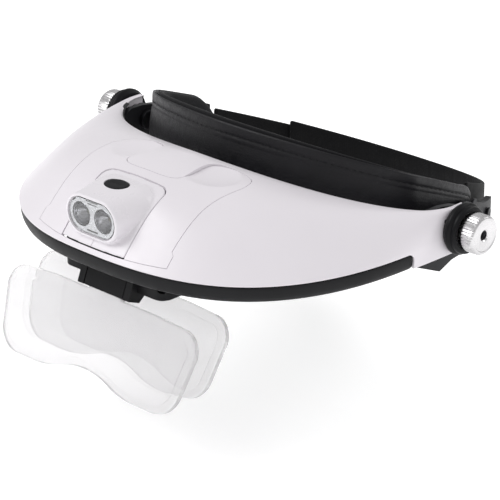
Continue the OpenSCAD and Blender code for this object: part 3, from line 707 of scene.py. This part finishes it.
def build_bumper():
    rings = []
    marks = [-0.12, -0.3, -0.7, -1.3, -2.0, -2.6, -3.0, -3.8]
    start = [angle_at(TRIM_END_Y + m) for m in marks]
    span = 180 - 2 * start[-1]
    middle = [start[-1] + span * i / BUMPER_STEPS for i in range(1, BUMPER_STEPS)]
    angles = start + middle + [180 - t for t in reversed(start)]
    for t in angles:
        _, y, z = rim(t)
        top = trim_top(t) - BUMPER_SEAM
        bottom = z - TRIM_H
        ring = []
        for o, f in BUMPER_SECTION:
            # The outer face rolls in over the last stretch before each end
            roll = 0.7 * max(0, 1 - (TRIM_END_Y - y) / 1.4) ** 2
            p = rim(t, min(o + roll, BUMPER_IN))
            p[2] = top + (bottom - top) * f
            ring.append(p)
        rings.append(ring)
    place(loft("rim_bumper_piece", rings, sharp=math.radians(50)), "visor", "trim", "rim_bumper")


# The liner's two halves, as (first station, last station, side)
LINER_HALVES = ((9.5, 86, 1), (94, 170.5, -1))
# Its outer and inner faces, in from the shell's inner skin, its lower edge up from the rim, and its distance
# from the module
LINER_OUTER, LINER_INNER, LINER_UP = 0.2, 1.2, 0.4
LINER_MODULE_GAP = 1.2


def build_liner():
    """The dark lining on each side of the module, cut off straight beside it."""
    halves = []
    for first, last, side in LINER_HALVES:
        half = loft("half", [shell_ring(t, 0, SHELL_T + LINER_OUTER, SHELL_T + LINER_INNER, low=LINER_UP)
                             for t in np.linspace(first, last, 60)])
        work = bmesh.new()
        work.from_mesh(half.data)
        edge = side * (MODULE_HALF_W + LINER_MODULE_GAP) * MM
        bmesh.ops.bisect_plane(work, geom=work.verts[:] + work.edges[:] + work.faces[:], dist=1e-7,
                               plane_co=(edge, 0, 0), plane_no=(side, 0, 0), clear_inner=True)
        bmesh.ops.holes_fill(work, edges=[e for e in work.edges if e.is_boundary])
        work.to_mesh(half.data)
        work.free()
        halves.append(half)
    place(join("inner_liner_piece", halves), "visor", "liner", "inner_liner")


# ---------------------------------------------------------------- lamp

LED_X = 6.4
LED_HALF = 6.0
MOUTH_R, MOUTH_STEP_R, BEZEL_R = 7.5, 7.9, 7.35
REFLECTOR_HOLE_R = 5.25
BARREL_Z = 9.6
BARREL_FRONT = -113.9
# Barrel sections from front to back: y, radius, middle height, extra half width
BARREL = [
    (-113.9, 8.5, 9.6, 0.1), (-113.7, 8.85, 9.6, 0.1), (-113.2, 9.0, 9.6, 0.1), (-110, 9.1, 9.75, 0.2),
    (-106, 9.35, 10.1, 0.5), (-101, 9.6, 10.6, 1.1), (-97, 9.7, 10.8, 1.8), (-93, 9.1, 11.0, 2.4),
    (-90, 8.2, 11.2, 2.6), (-88.9, 7.4, 11.3, 2.6),
]


def stadium_ring(y, radius, z, half, steps=14):
    ring = []
    for side, first in ((1, -90), (-1, 90)):
        for k in range(steps + 1):
            a = math.radians(first + 180 * k / steps)
            ring.append((side * half + radius * math.cos(a), y, z + radius * math.sin(a)))
    return ring


def stadium_bar(name, y0, y1, radius, edge=0.0):
    """A bar of stadium section along Y, its ends eased by edge."""
    ends = [(y0, radius - edge), (y0 + edge, radius), (y1 - edge, radius), (y1, radius - edge)]
    if edge == 0:
        ends = [(y0, radius), (y1, radius)]
    return loft(name, [stadium_ring(y, r, BARREL_Z, LED_HALF) for y, r in ends])


def build_lamp(plate):
    barrel = loft("barrel", [stadium_ring(y, r, z, LED_HALF + w, 20) for y, r, z, w in BARREL])
    # Only the part of the barrel outside the plate's inner face is kept
    under = []
    for x in (-40, 40):
        for y, z in ((-126, -14.2), (-80, 25.1), (-60, -40), (-126, -40)):
            under.append((x, y, z))
    wedge = mesh("under", under, [
        (0, 1, 2, 3), (4, 5, 6, 7), (0, 1, 5, 4), (1, 2, 6, 5), (2, 3, 7, 6), (3, 0, 4, 7),
    ])
    cut(barrel, wedge)
    housing = cut(plate, barrel, "UNION")
    housing.name = "lamp_housing_piece"
    remesh = housing.modifiers.new("remesh", "REMESH")
    remesh.mode = "VOXEL"
    remesh.voxel_size = 0.42 * MM
    ease = housing.modifiers.new("ease", "SMOOTH")
    ease.factor = 0.5
    ease.iterations = 9
    bpy.context.view_layer.update()
    settle(housing)
    cut(housing, stadium_bar("tool", BARREL_FRONT - 2, -92, MOUTH_R))
    # A crisp step round the mouth, and the seat of the switch button
    cut(housing, stadium_bar("tool", BARREL_FRONT - 2, BARREL_FRONT + 0.9, MOUTH_STEP_R))
    cut(housing, button_ring_tool(0.3, -3.2, 4))
    # The two halves of the plate meet in a seam under the barrel
    cut(housing, box("tool", (-0.13, AHEAD_Y, -10), (0.13, -100, 1.2)))
    tidy(housing, math.radians(32))
    place(housing, "lamp", "white_lamp", "lamp_housing")


BUTTON_Y, BUTTON_Z, BUTTON_TILT = -99.2, 19.9, math.radians(5.9)
BUTTON_W, BUTTON_D = 11.8, 8.4


def on_button(x, y, z):
    """From the button's own frame to the object's."""
    return (x, BUTTON_Y + y * math.cos(BUTTON_TILT) - z * math.sin(BUTTON_TILT),
            BUTTON_Z + y * math.sin(BUTTON_TILT) + z * math.cos(BUTTON_TILT))


def oval_ring(grow, z, steps=48):
    return [on_button((BUTTON_W / 2 + grow) * math.cos(a), (BUTTON_D / 2 + grow) * math.sin(a), z)
            for a in turns(steps)]


def button_ring_tool(grow, z0, z1):
    return loft("tool", [oval_ring(grow, z0), oval_ring(grow, z1)])


def build_button():
    profile = [(-0.15, -2.0), (0, -1.8), (0, 0.05), (-0.12, 0.3), (-0.5, 0.48), (-1.3, 0.56), (-2.4, 0.5),
               (-3.6, 0.36), (-4.3, 0.32)]
    button = loft("switch_button_piece", [oval_ring(g, z) for g, z in profile])
    stem = loft("stem", [[on_button(1.2 * math.cos(a), 1.2 * math.sin(a), z)
                          for a in turns(24)] for z in (-2.55, -1.8)])
    cut(button, stem, "UNION")
    tidy(button)
    place(button, "switch_button", "button", "switch_button")


def build_lamp_pin():
    """The hinge pin, kept short of the plate's corners where the skin curves away from it."""
    rings = [[(x, HINGE_Y + r * math.cos(a), HINGE_Z + r * math.sin(a))
              for a in turns(24)]
             for x, r in ((-15.4, 0.5), (-15.2, 0.6), (15.2, 0.6), (15.4, 0.5))]
    place(loft("lamp_hinge_pin_piece", rings), "lamp", "steel", "lamp_hinge_pin")


def build_lamp_front():
    """Bezel with dark bars painted as the shade of its slots, reflector cups, LED domes and the clear window.
    """
    front = BARREL_FRONT
    bezel = stadium_bar("lamp_bezel_piece", front + 1.1, front + 2.6, BEZEL_R)
    for x in (-LED_X, LED_X):
        r = REFLECTOR_HOLE_R
        hole = [(r, front - 1), (r, front + 4), (0.01, front + 4), (0.01, front - 1)]
        cut(bezel, lathe_forward("tool", hole, x, BARREL_Z, sharp=math.radians(60)))
    tidy(bezel)
    place(bezel, "lamp", "bezel", "lamp_bezel")

    # Painted shade for the bezel's slots: thin dark bars laid on its face instead of cut openings, two above
    # the bowls, one below, and one for a notch at the upper corner
    marks = []
    for z, half, thick in ((6.6, 3.4, 0.16), (5.5, 2.6, 0.16), (-6.0, 3.1, 0.3)):
        marks.append(box("mark", (-half, front + 1.0, BARREL_Z + z - thick),
                         (half, front + 1.2, BARREL_Z + z + thick)))
    notch = box("mark", (-1.1, front + 1.0, -0.32), (1.1, front + 1.2, 0.32))
    notch.data.transform(Matrix.Translation(Vector((-10.4, 0, BARREL_Z + 5.6)) * MM) @ Matrix.Rotation(
        math.radians(-38), 4, "Y"))
    # These black plastic bars paint the shade of the slots and the notch; the bezel itself has no slots cut
    place(join("bezel_painted_slot_shade", marks + [notch]), "lamp", "black_plastic")

    cups = []
    domes = []
    for x in (-LED_X, LED_X):
        bowl = [(5.0, front + 1.45), (4.85, front + 1.3)]
        bowl += [(4.7 - 3.0 * u ** 1.4, front + 1.5 + 4.8 * u) for u in np.linspace(0, 1, 14)]
        bowl += [(1.7, front + 6.9), (2.6, front + 6.9), (5.0, front + 2.8)]
        cups.append(lathe_forward("cup", bowl, x, BARREL_Z))
        dome = [(0.01, front + 4.4)] + [(1.5 * math.sin(a), front + 5.9 - 1.5 * math.cos(a))
                                        for a in np.linspace(0.15, math.pi / 2, 9)]
        dome += [(1.5, front + 8.2), (0.01, front + 8.2)]
        domes.append(lathe_forward("dome", dome, x, BARREL_Z))
    place(join("reflectors_piece", cups), "lamp", "reflector", "reflectors")
    place(join("leds_piece", domes), "lamp", "led", "leds")
    window = stadium_bar("lamp_window_piece", front + 0.35, front + 0.95, BEZEL_R, edge=0.12)
    place(window, "lamp", "lamp_window", "lamp_window")


def join(name, objects):
    """Several meshes as one object."""
    work = bmesh.new()
    for obj in objects:
        work.from_mesh(obj.data)
        bpy.data.objects.remove(obj)
    data = bpy.data.meshes.new(name)
    work.to_mesh(data)
    work.free()
    obj = bpy.data.objects.new(name, data)
    bpy.context.scene.collection.objects.link(obj)
    tidy(obj)
    return obj


# ---------------------------------------------------------------- lenses

LENS_TILT = math.radians(21.5)
LENS_HALF_W = 55.8
LENS_T = 3.0
LENS_TOP = -2.3
TAB_HALF_W = 9.5


def on_lens(y0, z0, x, v, n):
    """From a lens plate's own frame (across, down, away from the wearer) to the object's."""
    return (x, y0 - v * math.sin(LENS_TILT) - n * math.cos(LENS_TILT),
            z0 - v * math.cos(LENS_TILT) + n * math.sin(LENS_TILT))


def arc(cx, cy, r, a0, a1, steps):
    return [(cx + r * math.cos(math.radians(a0 + (a1 - a0) * i / steps)),
             cy + r * math.sin(math.radians(a0 + (a1 - a0) * i / steps))) for i in range(steps + 1)]


def lens_outline(inset=0.0, tab=True):
    """The outline as (across, down): half from the top's middle to the notch's, then its mirror image."""
    top_r, low_r = 9.5, 12.5
    top, low = LENS_TOP, 35.3
    low_w = LENS_HALF_W - 2.8
    lobe_r, notch_r = 43.6, 41.0
    lobe_y = low - lobe_r
    notch_y = 29.8 + notch_r
    half = []
    if tab:
        half += [(8.9, -9.5), (TAB_HALF_W, -8.9), (TAB_HALF_W, top - 0.6), (TAB_HALF_W + 0.6, top)]
    half += [(30, top + inset)]
    half += arc(LENS_HALF_W - top_r, top + 0.8 + top_r, top_r - inset, -90, 0, 10)
    half += arc(low_w - low_r, low - low_r, low_r - inset, 8, 90, 12)
    half += arc(30, lobe_y, lobe_r - inset, 90, 111, 7)
    half += reversed(arc(0, notch_y, notch_r + inset, -90, -69.5, 8))
    half = [p for p in half if p[0] > 0.3]
    middle = [(0, 29.8 - inset)]
    return half + middle + [(-x, v) for x, v in reversed(half)]


def build_lens(name, body, y0, z0):
    """An acrylic plate with eased edges and a raised lens field inside its border."""
    outer = lens_outline()
    field = lens_outline(inset=3.6, tab=False)
    e = 0.35
    half = LENS_T / 2

    def shrink(ring, d):
        pts = np.array(ring)
        forward = np.roll(pts, -1, 0) - np.roll(pts, 1, 0)
        forward /= np.linalg.norm(forward, axis=1)[:, None]
        inward = np.stack([-forward[:, 1], forward[:, 0]], 1)
        return pts + inward * d

    levels = [(e, -half), (0, -half + e), (0, half - e), (e, half)]
    rings = [[on_lens(y0, z0, x, v, n) for x, v in shrink(outer, d)] for d, n in levels]
    plate = loft(name + "_piece", rings, sharp=math.radians(30))
    # The lens field stands a little proud of the front face, with its own soft edge
    steps = [(0, half - 0.5), (0, half + 0.22), (0.5, half + 0.45)]
    field_rings = [[on_lens(y0, z0, x, v, n) for x, v in shrink(field, d)] for d, n in steps]
    cut(plate, loft("field", field_rings, sharp=math.radians(30)), "UNION")
    tidy(plate, math.radians(28))
    place(plate, body, "lens", name)


# ---------------------------------------------------------------- pivots

def build_pivot(side, word):
    cup = [
        (2.1, 91.7), (4.9, 91.7), (4.9, 97.1), (9.8, 97.15), (10.3, 97.9), (10.7, 98.4), (11.0, 98.9),
        (11.1, 99.5), (11.05, 100.3), (10.7, 100.75), (10.2, 100.9), (9.95, 101.15), (10.05, 101.6),
        (10.15, 102.2), (9.95, 102.9), (9.5, 103.3), (8.7, 103.4), (8.1, 103.2), (7.7, 102.6),
        (7.5, 101.8), (7.4, 101.2), (7.0, 101.0), (2.1, 101.0),
    ]
    place(lathe("pivot_cup_%s_piece" % word, cup, side), "visor", "black_plastic", "pivot_cup_" + word)

    # Knurled thumb knob: straight teeth on the rim, a dished turned face and a countersunk hole
    teeth = 40
    steps = teeth * 6
    profile = [
        (2.07, 101.4, 0), (6.2, 101.4, 0), (6.4, 101.6, 0), (6.4, 104.3, 0), (7.6, 104.4, 0),
        (8.0, 104.7, 0), (8.3, 105.1, 1), (8.4, 105.4, 1), (8.4, 109.7, 1), (8.3, 110.1, 1),
        (8.1, 110.6, 0.3), (7.8, 111.0, 0), (7.4, 111.2, 0), (6.9, 111.18, 0), (6.6, 111.0, 0),
        (5.0, 110.92, 0), (3.0, 110.9, 0), (2.6, 110.8, 0), (2.07, 110.3, 0),
    ]
    rings = []
    for k, a in enumerate(turns(steps)):
        depth = 0.24 * abs((k % 6) / 3 - 1)
        rings.append([(side * x, (r - depth * grip) * math.cos(a), (r - depth * grip) * math.sin(a))
                      for r, x, grip in profile])
    knob = loft("thumb_knob_%s_piece" % word, rings, closed=True, sharp=math.radians(25))
    place(knob, "knob_" + word, "knob", "thumb_knob_" + word)


# ---------------------------------------------------------------- headband

LOOP_HALF_W, LOOP_FRONT, LOOP_BACK = 74.9, 39.5, 100.0
LOOP_FRONT_POWER, LOOP_BACK_POWER = 1.75, 2.21
LOOP_Z0, LOOP_FALL = 16.8, 0.37
PAD_H, PAD_LEAN = 30.0, 4.0
PAD_LEFT, PAD_RIGHT = -21.9, 194.2
DIP, DIP_LENGTH = 3.4, 70


def loop_plan(f, o):
    a = math.radians(f)
    s, c = math.sin(a), math.cos(a)
    p = 2 / (LOOP_FRONT_POWER if s >= 0 else LOOP_BACK_POWER)
    y = -(LOOP_FRONT + o) * s ** p if s >= 0 else (LOOP_BACK + o) * (-s) ** p
    return (LOOP_HALF_W + o) * float(spow(c, p)), y


def band_point(f, o, h, z0=LOOP_Z0, fall=LOOP_FALL, lean=PAD_LEAN):
    """A point on the headband loop: o outwards, h down from the top edge."""
    k = lean * max(math.sin(math.radians(f)), 0) / PAD_H
    x, y = loop_plan(f, o + k * h)
    y_edge = loop_plan(f, 0)[1]
    return (x, y, z0 - fall * y_edge - h)


def loop_run(angles):
    """The loop's points at these angles, and the distance along it to each."""
    path = np.array([loop_plan(f, 0) for f in angles])
    return path, np.concatenate([[0], np.cumsum(np.linalg.norm(np.diff(path, axis=0), axis=1))])


def loop_steps(f0, f1, spacing):
    """Angles from f0 to f1 at even distances along the loop, and the distance to each."""
    fine = np.linspace(f0, f1, 1500)
    run = loop_run(fine)[1]
    count = max(int(run[-1] / spacing), 4)
    marks = np.linspace(0, run[-1], count + 1)
    return np.interp(marks, run, fine), marks


def corner_drop(s, length, near_r, far_r):
    """How far a rounded corner pulls the edge in at the distance s from the start."""
    drop = 0.0
    for into, r in ((s, near_r), (length - s, far_r)):
        if into < r:
            drop = max(drop, r - math.sqrt(max(r * r - (r - into) ** 2, 0)))
    return drop


def pad_dip(s):
    """The pad's top edge falls away a little towards its left end."""
    return DIP * max(0, 1 - s / DIP_LENGTH) ** 2


def band_solid(name, f0, f1, section, corners, lean=PAD_LEAN, z0=LOOP_Z0, fall=LOOP_FALL, height=PAD_H,
               sharp=SHARP, spacing=1.6, dip=lambda s: 0.0):
    """Sweeps a section of (outwards, part of the height) round the loop, its corners rounded."""
    angles, marks = loop_steps(f0, f1, spacing)
    near_top, far_top, near_low, far_low = corners
    length = marks[-1]
    # Extra stations close to both ends, where the corners turn quickly
    extra = [0.25, 0.7, 1.2]
    marks = np.unique(np.concatenate([marks, extra, length - np.array(extra)]))
    fine = np.interp(marks, np.linspace(0, length, len(angles)), angles)
    rings = []
    for f, s in zip(fine, marks):
        top = corner_drop(s, length, near_top, far_top) + dip(s)
        low = height - corner_drop(s, length, near_low, far_low)
        squeeze = 1 - 0.55 * math.exp(-min(s, length - s) / 0.6)
        middle = sum(o for o, _ in section) / len(section)
        rings.append([band_point(f, middle + (o - middle) * squeeze, top + (low - top) * h, z0, fall, lean)
                      for o, h in section])
    return loft(name, rings, sharp=sharp)


def unwrap_band(obj, z0, fall):
    """A UV map in metres: along the loop, and down from its top edge."""
    path, run = loop_run(np.linspace(-160, 320, 4000))
    layer = obj.data.uv_layers.new(name="weave")
    nearest = []
    for x, y, z in np.array([v.co[:] for v in obj.data.vertices]) / MM:
        d = (path[:, 0] - x) ** 2 + (path[:, 1] - y) ** 2
        i = int(np.argmin(d))
        nearest.append((run[i] * MM, (z0 - fall * path[i, 1] - z) * MM))
    for loop in obj.data.loops:
        layer.data[loop.index].uv = nearest[loop.vertex_index]


def build_pad():
    # The cover: a rolled top hem, the sewn groove under it, then a soft crowned field
    cover_section = [
        (-0.55, 0.0), (-0.2, 0.004), (0.0, 0.018), (0.08, 0.05), (0.06, 0.105), (-0.04, 0.13),
        (-0.2, 0.143), (-0.22, 0.152), (-0.06, 0.163), (0.08, 0.18), (0.12, 0.205), (-0.02, 0.222),
        (0.04, 0.24), (0.35, 0.3), (0.75, 0.42), (0.95, 0.58), (0.85, 0.74), (0.5, 0.88), (0.15, 0.96),
        (-0.2, 0.99), (-0.6, 1.0), (-0.95, 0.98), (-1.02, 0.9), (-1.02, 0.5), (-1.02, 0.1),
        (-0.98, 0.02),
    ]
    cover = band_solid("pad_cover_piece", PAD_LEFT, PAD_RIGHT, cover_section, (4.5, 12, 5, 6),
                       sharp=math.radians(70), spacing=1.2, dip=pad_dip)
    place(cover, "headband", "leatherette", "pad_cover")

    # The foam pad behind it, crowned towards the wearer and pinched at its edges
    foam_section = [
        (-3.1, 0.06), (-3.4, 0.02), (-4.2, 0.0), (-5.2, 0.01), (-6.3, 0.05), (-7.2, 0.13),
        (-7.8, 0.28), (-8.0, 0.5), (-7.8, 0.72), (-7.2, 0.87), (-6.3, 0.95), (-5.2, 0.99), (-4.2, 1.0),
        (-3.4, 0.98), (-3.1, 0.94), (-3.06, 0.5),
    ]
    foam = band_solid("forehead_pad_piece", PAD_LEFT + 0.3, PAD_RIGHT - 0.3, foam_section, (6, 13, 6, 7),
                      sharp=math.radians(70), spacing=2.0, dip=pad_dip)
    place(foam, "headband", "foam", "forehead_pad")


def build_stitches():
    """Thread along the sewn groove of the cover: short raised stitches."""
    angles, marks = loop_steps(PAD_LEFT + 1.2, PAD_RIGHT - 3.5, 0.35)
    pitch, length, radius = 3.1, 2.1, 0.2
    work = []
    s = 1.0
    while s + length < marks[-1]:
        rings = []
        for u in np.linspace(0, 1, 7):
            f = float(np.interp(s + length * u, marks, angles))
            r = radius * (0.35 + 0.65 * math.sin(math.pi * (0.08 + 0.84 * u)))
            lift = 0.14 * math.sin(math.pi * u)
            top = pad_dip(s + length * u)
            h = top + 0.148 * (PAD_H - top)
            rings.append([band_point(f, -0.2 + lift + r * math.cos(a), h + r * math.sin(a))
                          for a in turns(8)])
        work.append(rings)
        s += pitch
    points = []
    faces = []
    for rings in work:
        base = len(points)
        points += [p for ring in rings for p in ring]
        faces += [tuple(base + i for i in face) for face in grid_faces(len(rings), 8, True)]
        faces.append(tuple(base + k for k in range(8)))
        faces.append(tuple(base + (len(rings) - 1) * 8 + k for k in range(8)))
    stitches = mesh("pad_stitches", points, faces)
    place(stitches, "headband", "stitch", slot="leatherette")


def build_straps():
    def flat(outer, inner):
        mid = (outer + inner) / 2
        return [
            (mid, 0.0), (outer - 0.25, 0.004), (outer, 0.018), (outer + 0.03, 0.25),
            (outer + 0.03, 0.75), (outer, 0.982), (outer - 0.25, 0.996), (mid, 1.0),
            (inner + 0.25, 0.996), (inner, 0.982), (inner - 0.03, 0.75), (inner - 0.03, 0.25),
            (inner, 0.018), (inner + 0.25, 0.004),
        ]

    # Each strap: name, start and end on the loop, section, height and fall of its top edge, width
    jobs = (
        ("strap_left", -141, -22.6, flat(-2.33, -3.87), 17.0, 0.41, 24),
        ("strap_right", 194.7, 291, flat(-0.03, -1.57), 12.8, 0.39, 21),
    )
    for node, f0, f1, section, z0, fall, height in jobs:
        strap = band_solid(node + "_piece", f0, f1, section, (1.2, 1.2, 1.2, 1.2), lean=0, z0=z0, fall=fall,
                           height=height, sharp=math.radians(50))
        unwrap_band(strap, z0, fall)
        place(strap, "headband", "webbing", node)


# ---------------------------------------------------------------- CAD nodes that keep their shape


def dress_nodes():
    """Rounds the edges of the plain mechanical nodes, and gives every CAD node its material."""
    rounded = {
        "lens_bracket": ("visor", "trim", 0.45),
        "front_lens_holder": ("lens_holder", "trim", 0.4),
        "side_bracket_left": ("headband", "bracket_grey", 0.5),
        "side_bracket_right": ("headband", "bracket_grey", 0.5),
        "battery_tray": ("lamp_module", "black_plastic", 0.25),
        "battery_lid": ("battery_lid", "black_plastic", 0.3),
        "pivot_stud_left": ("headband", "dark_steel", 0.25),
        "pivot_stud_right": ("headband", "dark_steel", 0.25),
        "cup_rivets_left": ("visor", "dark_steel", 0.2),
        "cup_rivets_right": ("visor", "dark_steel", 0.2),
        "friction_washer_left": ("headband", "black_plastic", 0.2),
        "friction_washer_right": ("headband", "black_plastic", 0.2),
        "band_rivets_left": ("headband", "dark_steel", 0.3),
        "band_rivets_right": ("headband", "dark_steel", 0.3),
    }
    for node, (body, material, width) in rounded.items():
        piece = rounded_node(node, width)
        if node.startswith("pivot_stud"):
            side = 1 if node.endswith("left") else -1
            cut(piece, lathe("socket", [(0.01, 107), (1.25, 107), (1.45, 113), (0.01, 113)], side, 6))
        place(piece, body, material, node, slot="steel" if material == "dark_steel" else None)
    slot_of = {s["node"]: s["material_slot"] for s in frame["record"]["subparts"]}
    for node, obj in NODES.items():
        obj.data.materials.clear()
        obj.data.materials.append(MATERIALS[slot_of[node]])


def build_floor():
    size = 3000
    low = FLOOR_Z / MM
    corners = [(-size, -size, low), (size, -size, low), (size, size, low), (-size, size, low)]
    floor = mesh("floor", corners, [(0, 1, 2, 3)])
    shader = Shader("floor", (0.9, 0.9, 0.9), 0.7, Emission_Color=(1, 1, 1, 1), Emission_Strength=0.5)
    shader.vary_color(shader.noise(3, 2), (0.92, 0.92, 0.925))
    shader.vary_roughness(shader.noise(8, 2), 0.05)
    floor.data.materials.append(shader.material)


set_up_camera()
set_up_studio()
build_floor()
lamp_plate = build_shell_and_module()
build_bumper()
build_liner()
build_lamp(lamp_plate)
build_button()
build_lamp_pin()
build_lamp_front()
build_lens("front_lens", "front_lens", -107.4, -28.4)
build_lens("rear_lens", "rear_lens", -90.3, -27.4)
for pivot_side, pivot_word in ((1, "left"), (-1, "right")):
    build_pivot(pivot_side, pivot_word)
build_pad()
build_stitches()
build_straps()
dress_nodes()
